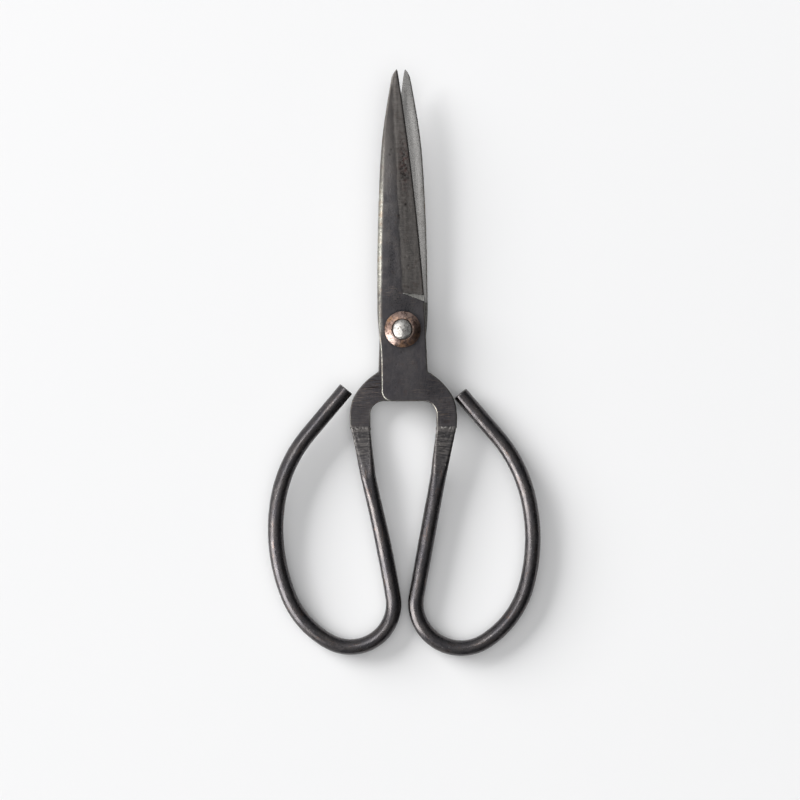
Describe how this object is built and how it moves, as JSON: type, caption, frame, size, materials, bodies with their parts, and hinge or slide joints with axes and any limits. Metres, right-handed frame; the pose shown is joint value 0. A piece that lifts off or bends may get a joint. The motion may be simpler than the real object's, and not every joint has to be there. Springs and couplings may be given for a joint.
{
  "type": "floral snips",
  "caption": "Slender forged snips with long tapered blades, a domed washer and rivet at the pivot, and wide open finger loops bent from round rod.",
  "frame": {"origin": "centre of the rear rivet head's flat end, on the pivot axis", "axes": "+Z along the rivet towards the front blade, +Y towards the blade tips, +X towards the front half's finger loop"},
  "size_m": [0.0935, 0.2007, 0.0115],
  "materials": {
    "blade_steel": "black forge scale, ground bevel and mating face",
    "rod_steel": "smooth black scale, oiled, faint brown tint",
    "washer_copper": "satin copper, lightly tarnished",
    "rivet_steel": "bright, hammered by peening"
  },
  "bodies": {
    "rear_half": {"rear_blade": "blade_steel", "rear_handle": "rod_steel", "rivet": "rivet_steel", "rear_washer": "washer_copper", "front_washer": "washer_copper"},
    "front_half": {"front_blade": "blade_steel", "front_handle": "rod_steel"}
  },
  "joints": [
    {"name": "blade_pivot", "type": "hinge", "parent": "rear_half", "child": "front_half", "pos_m": [0, 0, 0.0057], "axis": [0, 0, 1], "range_deg": [-1.1, 112]}
  ]
}
